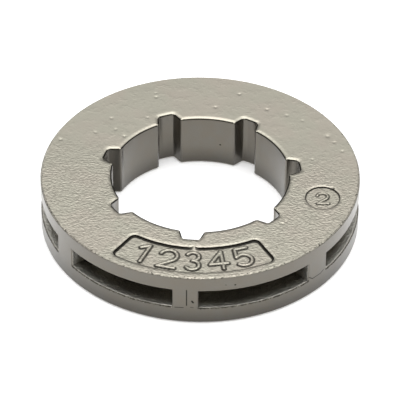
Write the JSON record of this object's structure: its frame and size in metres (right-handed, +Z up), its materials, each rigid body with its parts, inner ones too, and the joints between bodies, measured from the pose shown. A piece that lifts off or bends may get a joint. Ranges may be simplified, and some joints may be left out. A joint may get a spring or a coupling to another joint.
{
  "type": "chainsaw rim sprocket",
  "caption": "Toothed metal ring with two rails, blind drive-link pockets between its teeth and a splined bore.",
  "frame": {"origin": "centre of the lower face, on the axis of the bore", "axes": "+Z up along the bore's axis towards the marked face, one tooth along -Y"},
  "size_m": [0.037, 0.037, 0.0067],
  "materials": {
    "cast_steel": "fine-grained cast skin with a satin sheen, machined bore and rails"
  },
  "bodies": {
    "root": {"rim_sprocket": "cast_steel"}
  },
  "joints": []
}
